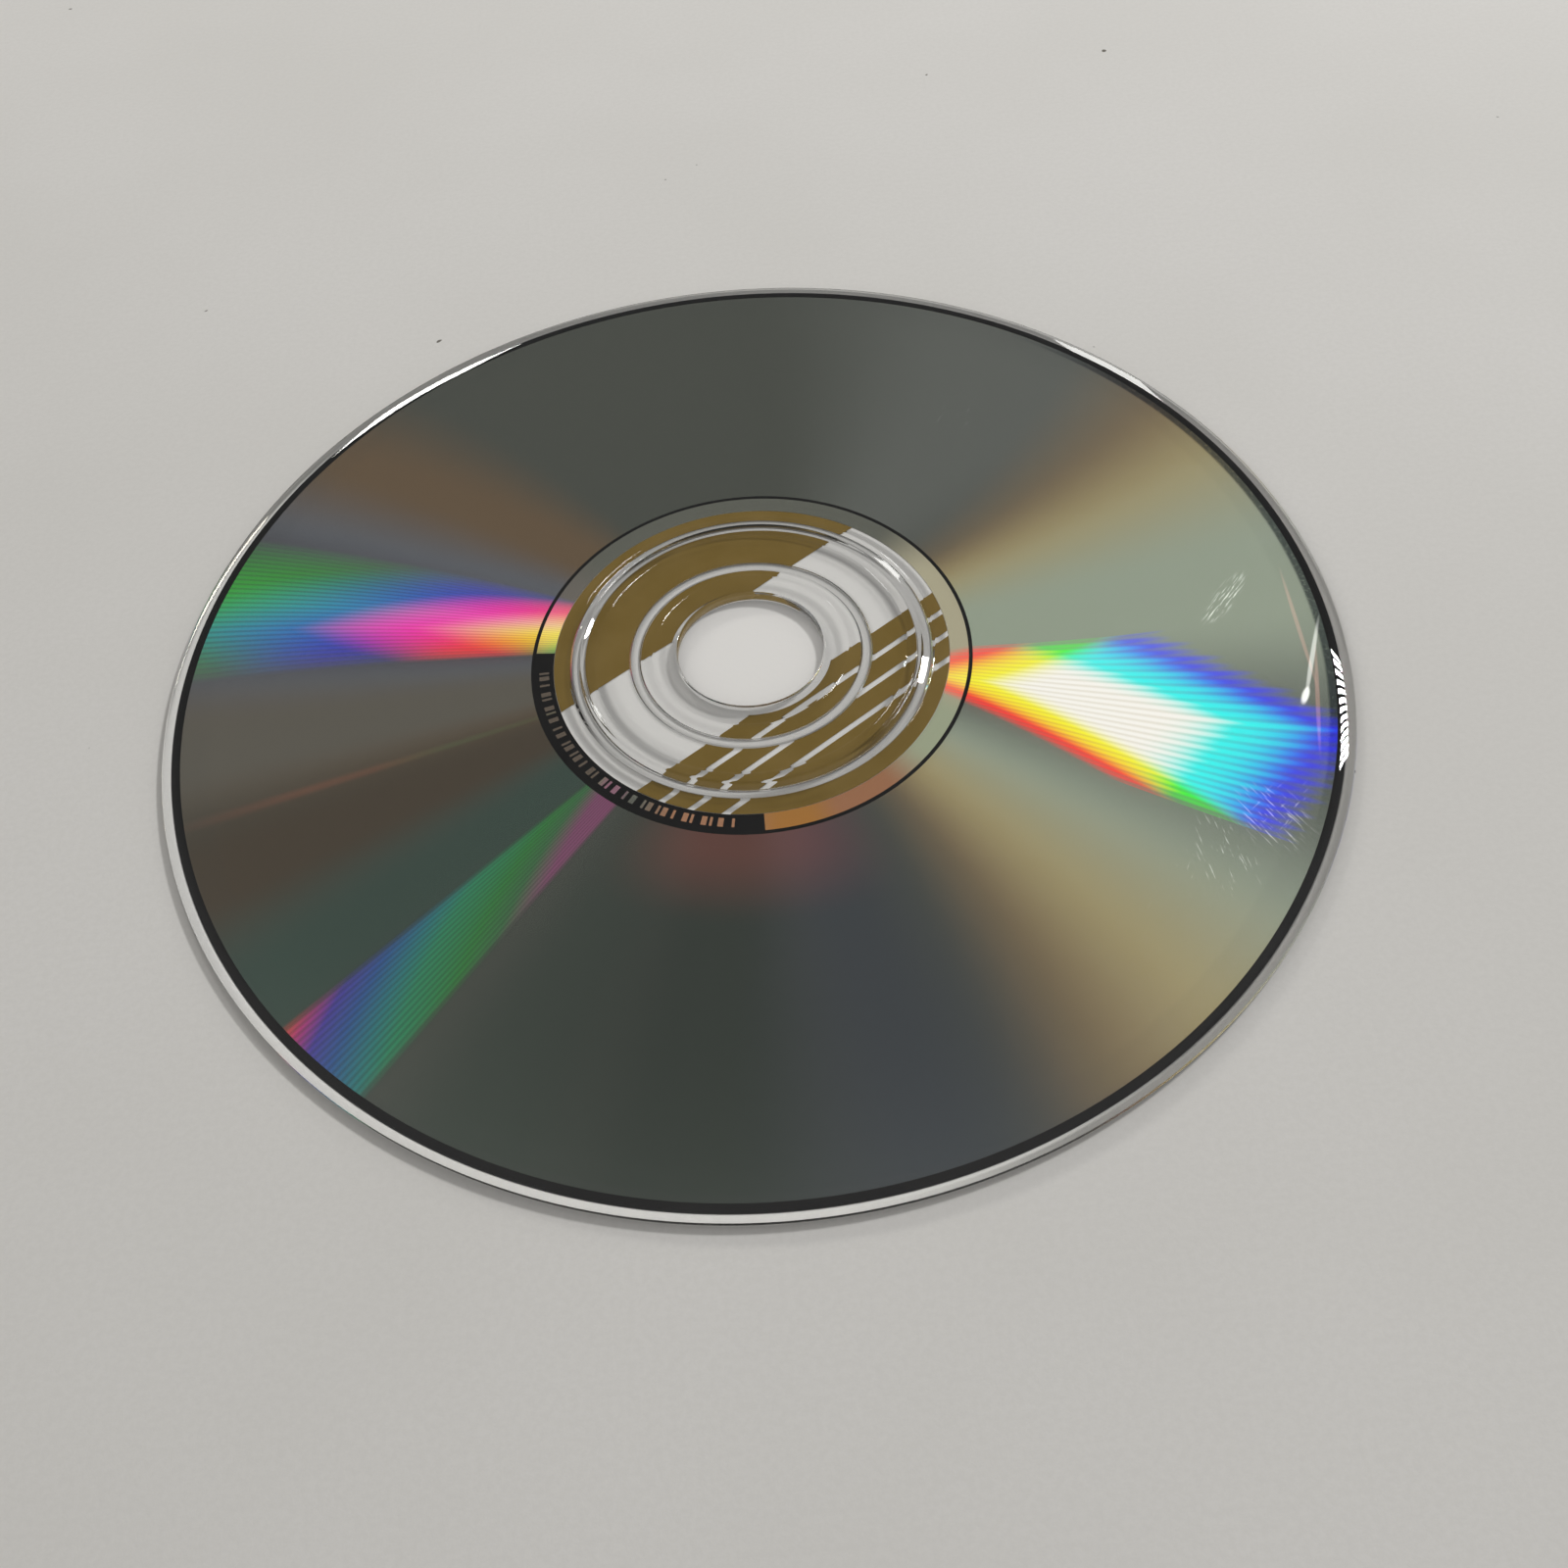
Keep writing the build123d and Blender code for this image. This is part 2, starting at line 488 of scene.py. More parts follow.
lightSettings = {
    "lamp": {  # a flat ceiling lamp of bright strips
        "place": (737.0, 644.0, 866.0), "turn": 9.0, "length": 180, "breadth": 205,
        "strips": 13, "filled": 0.52, "power": 9.5,
    },
    "cards": {  # place, width and height in millimetres, roll, power, colour
        "backCard": ((-285, 841, 461), 170, 120, -20, 1.1, (1.0, 0.99, 0.96)),
        "sideCard": ((438, 1003, 440), 130, 200, 0, 0.5, (1.0, 1.0, 0.96)),
        "warmCard": ((-610, 700, 390), 260, 40, 0, 0.4, (1.0, 0.95, 0.8)),
    },
    "sky": {
        "strength": 0.4, "bright": (1.0, 0.99, 0.98, 1), "dark": (0.5, 0.5, 0.5, 1),
        "darkSide": (0.0, 0.8, 0.6), "darkRange": (0.72, 0.9),  # how nearly a direction points there
        "lowest": 0.35, "lowRange": (0.05, 0.35),  # it dims towards the horizon
    },
}


def makeFloor(settings):
    clearSelection()
    bpy.ops.mesh.primitive_plane_add(size=settings["size"], location=(0, 0, settings["level"] * mm))
    floor = bpy.context.object
    floor.name = floor.data.name = "paperFloor"
    applyPlace()
    material, tree, surface = newMaterial("paper")
    place = millimetres(tree)
    clouds, fibres, specks, middle = (settings[part] for part in ("clouds", "fibres", "specks", "middle"))
    cloudNoise = noise(tree, place, clouds["scale"], clouds["detail"])
    fibreNoise = noise(tree, place, fibres["scale"], fibres["detail"], fibres["roughness"])
    speckNoise = noise(tree, place, specks["scale"], specks["detail"])
    cloudy = ramp(tree, cloudNoise, *clouds["range"], 0.0, clouds["depth"])
    fibrous = ramp(tree, fibreNoise, *fibres["range"], 0.0, fibres["depth"])
    # painted light: a lighter pool on the paper around the hub
    paintedLightNearHub = ramp(tree, useGroup(tree, polarPlace)["Radius"], *middle["radii"], 1.0, 0.0)
    colour = mixColour(tree, cloudy, settings["colour"], clouds["colour"])
    colour = mixColour(tree, fibrous, colour, fibres["colour"])
    colour = mixColour(tree, paintedLightNearHub, colour, middle["colour"])
    colour = mixColour(tree, ramp(tree, speckNoise, *specks["range"]), colour, specks["colour"])
    setInputs(tree, surface, Base_Color=colour, Roughness=settings["roughness"],
              Specular_IOR_Level=settings["gloss"])
    addBump(tree, surface, fibreNoise, fibres["bumpStrength"], fibres["bumpHeight"])
    floor.data.materials.append(material)


def addPanel(name, centre, width, height, power):
    bpy.ops.object.light_add(type="AREA", location=centre)
    panel = bpy.context.object
    panel.name = name
    panel.data.shape = "RECTANGLE"
    panel.data.size, panel.data.size_y = width * mm, height * mm
    panel.data.energy = power
    panel.visible_transmission = False  # its light comes through the clear plastic on shadow rays alone
    return panel


def makeLamp(lamp):
    turn, pitch = radians(lamp["turn"]), lamp["breadth"] / lamp["strips"]
    across = Vector((-sin(turn), cos(turn), 0))
    for k in range(lamp["strips"]):
        centre = (Vector(lamp["place"]) + across * (k - (lamp["strips"] - 1) / 2) * pitch) * mm
        power = lamp["power"] / lamp["strips"]
        strip = addPanel(f"lampStrip{k + 1}", centre, lamp["length"], pitch * lamp["filled"], power)
        strip.rotation_euler = (0, 0, turn)


def makeCards(cards):
    for name, (place, width, height, roll, power, colour) in cards.items():
        card = addPanel(name, Vector(place) * mm, width, height, power)
        card.rotation_euler = card.location.to_track_quat("Z", "Y").to_euler()
        card.rotation_euler.rotate_axis("Z", radians(roll))
        card.data.color = colour


def makeSky(sky):
    scene.world = bpy.data.worlds.new("studio")
    scene.world.use_nodes = True
    tree = scene.world.node_tree
    direction = vectors(tree, "NORMALIZE", addNode(tree, "ShaderNodeTexCoord").outputs["Generated"])
    ahead = vectors(tree, "DOT_PRODUCT", direction, sky["darkSide"])
    height = vectors(tree, "DOT_PRODUCT", direction, (0, 0, 1))
    colour = mixColour(tree, ramp(tree, ahead, *sky["darkRange"]), sky["bright"], sky["dark"])
    lower = ramp(tree, height, *sky["lowRange"], sky["lowest"], 1.0)
    shaded = vectors(tree, "SCALE", colour, scale=lower)
    setInputs(tree, tree.nodes["Background"], Color=shaded, Strength=sky["strength"])


makeFloor(floorSettings)
makeLamp(lightSettings["lamp"])
makeCards(lightSettings["cards"])
makeSky(lightSettings["sky"])
scene.view_settings.view_transform = "Standard"
print("studio lit")


# clear plastic moulding
plasticSettings = {
    "discRadius": 60.0, "holeRadius": 7.5, "bottom": 0.04, "top": 1.24, "edgeBevel": 0.2,
    "crest": 17.48, "ringHeight": 0.25, "crestRounding": 0.08, "ringSteps": 9,  # stacking ridge
    "innerSlope": 0.55, "outerSlope": 0.34, "footSpacing": 1.5,  # its two flanks
    "fallStart": 57.5, "fallWidth": 2.3, "fallCurve": 0.055, "fallSteps": 12,  # the read face near the rim
    "lines": (18.9, 16.1, 10.1), "lineWidth": 0.34, "lineDepth": 0.06,  # fine turned lines in the read face
    "grooves": ((11.95, 1.1), (18.0, 1.2)), "grooveDepth": 0.15, "grooveSlope": 60.0,  # in the lower face
    "segments": 720, "smoothBelow": 24,  # edges that turn by less than this shade smoothly
    "rounding": 0.07, "roundFrom": 14, "roundSegments": 3,  # of edges that turn by more than roundFrom
    "colour": (0.985, 0.99, 0.985, 1.0), "refraction": 1.585,
    "worn": {  # a patch of fine wear, which ends before the rim
        "Centre": (48.0, 0.0, 0), "Turn": 56.0, "Length": 26.0, "Width": 18.0, "Fineness": 3.0, "Amount": 0.3,
    },
    "wornRoughness": 0.12, "wornEnd": (55.0, 57.0),
    # what flat and sloping faces let through, and how level a face counts as each
    "straightLight": (0.98, 0.98, 0.98, 1), "bentLight": (0.1, 0.1, 0.1, 1), "flatness": (0.88, 0.999),
    "shadeRings": (  # middle, half width, depth of the shade under the lower face
        (19.7, 0.6, 0.4), (18.3, 0.9, 0.25), (15.8, 0.8, 0.45), (15.1, 1.2, 0.12),
        (12.3, 0.7, 0.28), (10.6, 0.6, 0.12), (9.1, 0.6, 0.2),
    ),
    "ringCore": 0.2, "upperHalf": (0.3, 0.8),  # share of a ring at full shade, heights where the rings end
    "rim": {  # light that its upper face, its wall and its lower face let through
        "from": 58.7, "blend": 0.2, "upper": 0.04, "wall": 0.6, "lower": 2.2,
        "lowerHeights": (0.05, 0.3), "upperHeights": (0.75, 0.9),
    },
}


def grooveSection(settings, middle, width):
    bottom, roof = settings["bottom"], settings["bottom"] + settings["grooveDepth"]
    half, slope = width / 2, settings["grooveDepth"] / tan(radians(settings["grooveSlope"]))
    return [
        (middle - half, bottom), (middle - half + slope, roof),
        (middle + half - slope, roof), (middle + half, bottom),
    ]


def ridgeFlank(settings, way, slope):
    # one side of the stacking ridge, from its foot to just before the crest
    rise, rounding, steps = settings["ringHeight"], settings["crestRounding"], settings["ringSteps"]
    reach = sqrt((rise / slope + rounding) ** 2 - rounding ** 2)
    flank = []
    for step in range(steps):
        across = reach * (1 - step / steps) ** settings["footSpacing"]
        lift = rise - slope * (sqrt(across * across + rounding * rounding) - rounding)
        flank.append((settings["crest"] + way * across, settings["top"] + lift))
    return flank


def turnedLine(settings, middle):
    side, top = settings["lineWidth"] / 2, settings["top"]
    return [(middle + side, top), (middle, top - settings["lineDepth"]), (middle - side, top)]


def plasticSection(settings):
    # from the hole along the lower face, up the rim and back along the read face
    top, bottom, bevel = settings["top"], settings["bottom"], settings["edgeBevel"]
    hole, rim = settings["holeRadius"], settings["discRadius"]
    section = [(hole + bevel, bottom)]
    for middle, width in settings["grooves"]:
        section += grooveSection(settings, middle, width)
    drop = settings["fallCurve"] * settings["fallWidth"] ** 2
    section += [(rim - bevel, bottom), (rim, bottom + bevel), (rim, top - drop - bevel)]
    for step in range(settings["fallSteps"], -1, -1):  # the read face falls away towards the rim
        across = step * settings["fallWidth"] / settings["fallSteps"]
        section.append((settings["fallStart"] + across, top - settings["fallCurve"] * across * across))
    outermost, *others = settings["lines"]
    section += turnedLine(settings, outermost)
    section += ridgeFlank(settings, 1, settings["outerSlope"])
    section.append((settings["crest"], top + settings["ringHeight"]))
    section += reversed(ridgeFlank(settings, -1, settings["innerSlope"]))
    for middle in others:
        section += turnedLine(settings, middle)
    section += [(hole + bevel, top), (hole, top - bevel), (hole, bottom + bevel)]
    return section


def passedLight(tree, settings, radius):
    # Shadow and diffuse rays go straight through the flat faces. The sloping ones bend them aside,
    # and so the lower face casts soft rings of shade.
    straight = ramp(tree, maths(tree, "ABSOLUTE", facingUp(tree)), *settings["flatness"])
    light = mixColour(tree, straight, settings["bentLight"], settings["straightLight"])
    height = splitParts(tree, millimetres(tree))[2]
    above = ramp(tree, height, *settings["upperHalf"])
    for middle, half, depth in settings["shadeRings"]:
        distance = maths(tree, "ABSOLUTE", maths(tree, "SUBTRACT", radius, middle))
        below = ramp(tree, distance, settings["ringCore"] * half, half, 1 - depth, 1.0)
        light = vectors(tree, "SCALE", light, scale=maths(tree, "MAXIMUM", below, above))
    rim = settings["rim"]
    atWall = ramp(tree, height, *rim["lowerHeights"], rim["lower"], rim["wall"])
    onTop = ramp(tree, height, *rim["upperHeights"])
    atRim = ramp(tree, onTop, 0.0, 1.0, atWall, rim["upper"], "LINEAR")
    share = ramp(tree, radius, rim["from"] - rim["blend"], rim["from"] + rim["blend"])
    return vectors(tree, "SCALE", light, scale=ramp(tree, share, 0.0, 1.0, 1.0, atRim, "LINEAR"))


def plasticMaterial(settings):
    material, tree, surface = newMaterial("clearPlastic")
    radius = useGroup(tree, polarPlace)["Radius"]
    worn = useGroup(tree, scuff, **settings["worn"])["Mask"]
    wear = ramp(tree, radius, *settings["wornEnd"], settings["wornRoughness"], 0.0)
    setInputs(tree, surface, Base_Color=settings["colour"], IOR=settings["refraction"],
              Transmission_Weight=1.0, Roughness=maths(tree, "MULTIPLY", worn, wear))
    passed = addNode(tree, "ShaderNodeBsdfTransparent")
    feed(tree, passed.inputs[0], passedLight(tree, settings, radius))
    mixed = addNode(tree, "ShaderNodeMixShader")
    rays = addNode(tree, "ShaderNodeLightPath").outputs
    feed(tree, mixed.inputs[0], maths(tree, "MAXIMUM", rays["Is Shadow Ray"], rays["Is Diffuse Ray"]))
    feed(tree, mixed.inputs[1], surface.outputs[0])
    feed(tree, mixed.inputs[2], passed.outputs[0])
    feed(tree, tree.nodes["Material Output"].inputs["Surface"], mixed.outputs[0])
    return material


def makeDisc(settings):
    disc = turnedRing("clearDisc", plasticSection(settings), settings["segments"])
    addModifier(disc, "BEVEL", limit_method="ANGLE", angle_limit=radians(settings["roundFrom"]),
                width=settings["rounding"] * mm, segments=settings["roundSegments"],
                use_clamp_overlap=True, harden_normals=False)
    smoothShade(disc, settings["smoothBelow"])
    # wide faces stay flat
    addModifier(disc, "WEIGHTED_NORMAL", mode="FACE_AREA", weight=100, keep_sharp=True)
    disc.data.materials.append(plasticMaterial(settings))
    return disc


clearDisc = makeDisc(plasticSettings)
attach(clearDisc, "root")
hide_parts("substrate")
print("clear plastic moulded,", len(clearDisc.data.polygons), "faces")


# recording film
filmSettings = {
    "inner": 22.7, "outer": 58.2, "bottom": 0.02, "top": 0.04, "segments": 720, "rings": 4,
    "plain": (76, 78, 73),
    # painted reflections: soft wedges where the metal mirrors the room's light, split into colour by its
    # tracks, painted into its colour
    "reflectionWedges": [  # middle, half width, softness, spread, colour as seen under the studio's light
        (50, 20, 15, 0.2, (92, 94, 90)),
        (346, 47, 9, 0.25, (118, 103, 82)),
        (346, 39, 7, 0.15, (152, 141, 105)),
        (347, 29, 9, 0.1, (142, 151, 134)),
        (339, 11, 8, 0.1, (98, 103, 95)),
        (164, 32, 7, -0.2, (97, 84, 69)),
        (166, 18, 6, -0.1, (91, 93, 97)),
        (166, 9, 5, 0.0, (68, 68, 70)),
        (187, 7, 5, 0.0, (92, 89, 82)),
        (203, 8, 6, 0.0, (75, 69, 61)),
        (217, 7, 5, 0.0, (65, 76, 70)),
        (243, 8, 6, 0.0, (66, 71, 66)),
        (262, 14, 10, 0.0, (61, 65, 61)),
        (282, 10, 9, 0.0, (67, 70, 72)),
        (226.7, 5, 1, 0.0, (58, 62, 60)),
    ],
    "outerShade": {"from": 55.5, "blend": 0.3, "depth": 0.06, "colour": (0.25, 0.27, 0.25, 1)},
    "darkEdge": {  # a mottled sector along the rim
        "middle": 12.0, "half": 34.0, "softness": 10.0, "from": 57.5, "blend": 0.2,
        "mottleScale": 3.5, "mottleRange": (0.25, 0.5), "least": 0.5, "most": 0.8, "colour": (34, 40, 46),
    },
    "glow": {  # a dull red light beside the hub
        "middle": 266, "half": 21, "softness": 12, "from": 24.0, "to": 33.0, "colour": (72, 22, 16),
    },
    "roughness": 0.1,
}
rightFan = {
    "Order_1": 2.2, "Order_2": 0.0, "Order_3": 0.06, "Rows": 26.0, "Row_depth": 0.4, "Row_reach": 0.0025,
    "Tint": (1.15, 1.02, 0.78),
}
leftFan = {
    "Order_1": 2.6, "Order_2": 1.7, "Order_3": 0.45, "Rows": 30.0, "Row_depth": 0.4, "Row_reach": 0.0,
    "Tint": (1.15, 0.9, 1.2),
}
# Narrow fans of a fainter lamp: middle, half width and softness of the sector, slope of the colours
# across it, strength, rows, and colours by place, which runs from 0 at the axis to 1 at streakEnd.
streakEnd, streakRowDepth = 58.0, 0.2
streaks = [
    {
        "middle": 226.7, "half": 4.9, "softness": 0.7, "slope": 2.0, "strength": 0.8, "rows": 620.0,
        "colours": (
            (0.0, (130, 56, 100)), (0.24, (124, 58, 98)), (0.36, (46, 98, 50)), (0.46, (26, 116, 36)),
            (0.62, (18, 126, 84)), (0.70, (12, 112, 116)), (0.80, (24, 74, 140)), (0.89, (62, 36, 148)),
            (0.96, (170, 28, 104)), (1.0, (210, 60, 50)),
        ),
    },
    {
        "middle": 195.9, "half": 0.5, "softness": 0.55, "slope": 0.0, "strength": 0.24, "rows": 0.0,
        "colours": (
            (0.3, (30, 60, 20)), (0.55, (36, 84, 40)), (0.68, (120, 52, 30)), (0.8, (130, 56, 34)),
            (1.0, (60, 30, 26)),
        ),
    },
]
white, rosy = (1, 1, 0.96, 1), (0.62, 0.27, 0.22, 1)
# painted highlights: fine scratches, whose marks are real and whose brightness is painted light, white or
# rosy, in the film's emission
scuffGlints = [  # centre, turn, length, width, fineness, amount, strength, colour
    ((49.2, 1.2, 0), 50, 9.0, 2.4, 5.5, 0.75, 0.5, white),
    ((53.9, -12.3, 0), 62, 2.6, 0.8, 1.0, 2.2, 0.8, white),
    ((55.8, -7.8, 0), 68, 12.0, 0.55, 1.0, 1.7, 0.42, white),
    ((55.6, -3.5, 0), 88, 17.0, 0.5, 1.0, 1.6, 0.26, rosy),
    ((55.0, -12.6, 0), 76, 15.0, 0.5, 1.0, 1.6, 0.28, rosy),
    ((47.0, -26.0, 0), 118, 9.0, 7.0, 4.2, 0.6, 0.3, white),
    ((48.0, -25.0, 0), 40, 8.0, 5.0, 4.0, 0.45, 0.26, white),
    ((41.5, -29.5, 0), 98, 10.0, 7.0, 4.2, 0.5, 0.24, white),
    ((36.0, -34.0, 0), 60, 14.0, 6.0, 3.6, 0.3, 0.12, white),
    ((26.0, 33.0, 0), 62, 9.0, 5.0, 4.0, 0.4, 0.12, white),
    ((38.0, 24.0, 0), 40, 8.0, 5.0, 4.0, 0.3, 0.1, white),
    ((4.0, 44.0, 0), 85, 9.0, 4.0, 4.0, 0.3, 0.07, white),
    ((-34.0, -30.0, 0), 20, 10.0, 6.0, 4.0, 0.2, 0.07, white),
]
# How much of its colour the metal shows, what the plastic's gloss adds, the brightest that metal can
# mirror, how far the tone under the strong fan gives way to it, and the strength of scattered light.
mirrored = {"share": 0.18, "gloss": 0.016, "most": 0.55, "giveWay": 0.7, "scattered": 1.06}


def seen(colour):
    # the colour to give the metal so that it shows as this one when it mirrors the studio through the plastic
    shown = [max(0.0, (part - mirrored["gloss"]) / mirrored["share"]) for part in tone(*colour)[:3]]
    return (*shown, 1.0)


def onRightHalf(tree):
    return maths(tree, "GREATER_THAN", splitParts(tree, millimetres(tree))[0], 0.0)


def shareOut(tree, colour, light):
    # What is brighter than metal can mirror goes to the light that its tracks scatter. Both give way to
    # a bright fan.
    mirror = vectors(tree, "MINIMUM", colour, (mirrored["most"],) * 3)
    rest = vectors(tree, "SCALE", vectors(tree, "SUBTRACT", colour, mirror), scale=mirrored["share"])
    red, green, blue = splitParts(tree, light)
    brightest = maths(tree, "MAXIMUM", red, maths(tree, "MAXIMUM", green, blue))
    covered = maths(tree, "MULTIPLY", brightest, onRightHalf(tree))
    uncovered = maths(tree, "SUBTRACT", 1.0, maths(tree, "MULTIPLY", covered, mirrored["giveWay"]))
    free = vectors(tree, "SCALE", vectors(tree, "SUBTRACT", (1, 1, 1), light), scale=uncovered)
    scattered = vectors(tree, "ADD", light, vectors(tree, "MULTIPLY", rest, free))
    return vectors(tree, "MULTIPLY", mirror, free), scattered


def useSector(tree, settings):
    return useGroup(tree, softSector, Middle=settings["middle"], Half_width=settings["half"],
                    Softness=settings["softness"])


# paints the room's reflections into the metal's colour, wedge by wedge
def paintedReflections(tree, settings):
    colour = seen(settings["plain"])
    for middle, half, softness, spread, tint in settings["reflectionWedges"]:
        sector = useGroup(tree, softSector, Middle=middle, Half_width=half, Softness=softness, Spread=spread)
        colour = mixColour(tree, sector["Mask"], colour, seen(tint))
    return colour


def addStreak(tree, light, streak):
    sector = useSector(tree, streak)
    across = maths(tree, "ADD", sector["Offset"], streak["half"])
    slide = maths(tree, "SUBTRACT", sector["Radius"], maths(tree, "MULTIPLY", across, streak["slope"]))
    bands = addNode(tree, "ShaderNodeValToRGB")
    feed(tree, bands.inputs[0], ramp(tree, slide, 0.0, streakEnd, kind="LINEAR"))
    setStops(bands.color_ramp, streak["colours"])
    rows = maths(tree, "COSINE", maths(tree, "MULTIPLY", sector["Offset"], radians(streak["rows"])))
    depth = maths(tree, "MULTIPLY_ADD", rows, streakRowDepth * streak["strength"],
                  (1 - streakRowDepth) * streak["strength"])
    return mixColour(tree, maths(tree, "MULTIPLY", sector["Mask"], depth), light, bands.outputs[0], "ADD")


def fanLight(tree):
    right = useGroup(tree, rainbowFan, **rightFan)["Colour"]
    left = useGroup(tree, rainbowFan, **leftFan)["Colour"]
    light = mixColour(tree, onRightHalf(tree), left, right)
    for streak in streaks:
        light = addStreak(tree, light, streak)
    return light


def edgeShades(tree, colour, settings):
    # the film's darker outer edge, and its mottled part
    radius = useGroup(tree, polarPlace)["Radius"]
    outer, dark = settings["outerShade"], settings["darkEdge"]
    edge = ramp(tree, radius, outer["from"] - outer["blend"], outer["from"] + outer["blend"],
                0.0, outer["depth"])
    colour = mixColour(tree, edge, colour, outer["colour"])
    mottle = noise(tree, millimetres(tree), dark["mottleScale"])
    mottled = ramp(tree, mottle, *dark["mottleRange"], dark["least"], dark["most"])
    nearRim = ramp(tree, radius, dark["from"] - dark["blend"], dark["from"] + dark["blend"])
    amount = maths(tree, "MULTIPLY", useSector(tree, dark)["Mask"], maths(tree, "MULTIPLY", mottled, nearRim))
    return mixColour(tree, amount, colour, seen(dark["colour"]))


def addGlow(tree, light, glow):
    sector = useSector(tree, glow)
    paintedLightNearHub = ramp(tree, sector["Radius"], glow["from"], glow["to"], 1.0, 0.0)
    amount = maths(tree, "MULTIPLY", sector["Mask"], paintedLightNearHub)
    return mixColour(tree, amount, light, tone(*glow["colour"]), "ADD")


# adds the scratches' painted glints to the film's emitted light
def addScuffGlints(tree, light):
    for centre, turn, length, width, fineness, amount, strength, colour in scuffGlints:
        mark = useGroup(tree, scuff, Centre=centre, Turn=turn, Length=length, Width=width, Fineness=fineness,
                        Amount=amount)
        light = mixColour(tree, maths(tree, "MULTIPLY", mark["Mask"], strength), light, colour, "ADD")
    return light


def dressMetal(tree, surface, mirror, light, roughness):
    setInputs(tree, surface, Base_Color=mirror, Metallic=1.0, Roughness=roughness,
              Emission_Color=light, Emission_Strength=mirrored["scattered"])


def filmMaterial(settings):
    material, tree, surface = newMaterial("recordingFilm")
    colour = edgeShades(tree, paintedReflections(tree, settings), settings)
    mirror, light = shareOut(tree, colour, fanLight(tree))
    light = addScuffGlints(tree, addGlow(tree, light, settings["glow"]))
    dressMetal(tree, surface, mirror, light, settings["roughness"])
    return material


def makeFilm(settings):
    inner, outer, steps = settings["inner"], settings["outer"], settings["rings"]
    bottom, top = settings["bottom"], settings["top"] + sink
    section = [(inner + (outer - inner) * k / steps, bottom) for k in range(steps + 1)]
    section += [(outer - (outer - inner) * k / steps, top) for k in range(steps + 1)]
    film = turnedRing("recordingFilm", section, settings["segments"])
    film.data.materials.append(filmMaterial(settings))
    return film


recordingFilm = makeFilm(filmSettings)
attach(recordingFilm, "root")
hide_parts("recording_layer")
print("recording film made")


# mirror band with its bars
bandSettings = {
    "inner": 20.4, "outer": 22.3, "bottom": 0.02, "top": 0.04, "bandSteps": 528,
    "windowStart": 174.0, "windowEnd": 270.0, "windowSteps": 192,
    "barStart": 181.0, "barModule": 0.72, "barCount": 33, "barMargin": 0.45,
    "barSteps": 2, "barLift": 0.002,  # steps for each module, and height over the ink in the window
    "plain": (94, 95, 88),
    # painted reflections: soft wedges where the band mirrors the room's light, painted into its colour
    "reflectionWedges": [
        (350, 45, 12, 0.0, (164, 158, 134)),
        (320, 18, 8, 0.0, (148, 154, 130)),
        (295, 16, 8, 0.0, (144, 104, 80)),
        (276, 10, 5, 0.0, (152, 108, 62)),
        (165, 22, 8, 0.0, (104, 100, 94)),
        (202, 26, 8, 0.0, (92, 84, 76)),
        (255, 14, 6, 0.0, (150, 112, 88)),
    ],
    "roughness": 0.08,
}


def mirrorMaterial(settings):
    material, tree, surface = newMaterial("mirrorMetal")
    mirror, light = shareOut(tree, paintedReflections(tree, settings), fanLight(tree))
    dressMetal(tree, surface, mirror, light, settings["roughness"])
    return material


def makeBand(settings):
    inner, outer, margin = settings["inner"], settings["outer"], settings["barMargin"]
    bottom, top, module = settings["bottom"], settings["top"] + sink, settings["barModule"]
    start, sweep = settings["windowEnd"], fullTurn - (settings["windowEnd"] - settings["windowStart"])
    pieces = [arcPlate("mirrorBand", inner, outer, bottom, top, start, sweep, settings["bandSteps"])]
    kinds = []
    for modules in (1, 2):
        kinds.append(arcPlate("bar", inner + margin, outer - margin, bottom, top + settings["barLift"],
                              0, module * modules, settings["barSteps"] * modules))
    angle = settings["barStart"]
    for index in range(settings["barCount"]):  # narrow and wide bars in turn, with gaps of one to three
        pieces.append(copyTurned(kinds[index % 2], angle))
        angle += module * (1 + index % 2)
        angle += module * (1 + (index + index // 4) % 3)
    for kind in kinds:
        bpy.data.objects.remove(kind)
    band = joinPieces(pieces)
    band.data.materials.append(mirrorMaterial(settings))
    return band


mirrorBand = makeBand(bandSettings)
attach(mirrorBand, "root")
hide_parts("mirror_band")
print("mirror band made")


# black label ink
labelSettings = {
    "inner": 20.4, "outer": 59.0, "bottom": 0.0, "level": 0.02, "top": 0.04,
    "filmInner": 22.7, "filmOuter": 58.2, "bandOuter": 22.3, "segments": 720,
    "colour": tone(10, 9, 9), "faded": tone(18, 17, 16), "roughness": 0.35,
}
inkSettings = {  # for both inks
    "cloudScale": 0.15, "cloudDetail": 4.0, "cloudRange": (0.3, 0.75),
    "grainScale": 6.0, "grainRange": (0.62, 0.75), "grainDepth": 0.35,
    "roughnessRange": (0.2, 0.8), "smoother": 0.08, "rougher": 0.1,
    "gloss": 0.08, "coat": 0.8, "coatRange": (-0.9, -0.5), "coatRoughness": 0.22,
    "meshPitch": 0.18, "meshStrength": 0.3, "meshHeight": 0.006,  # the printing screen's mesh
}


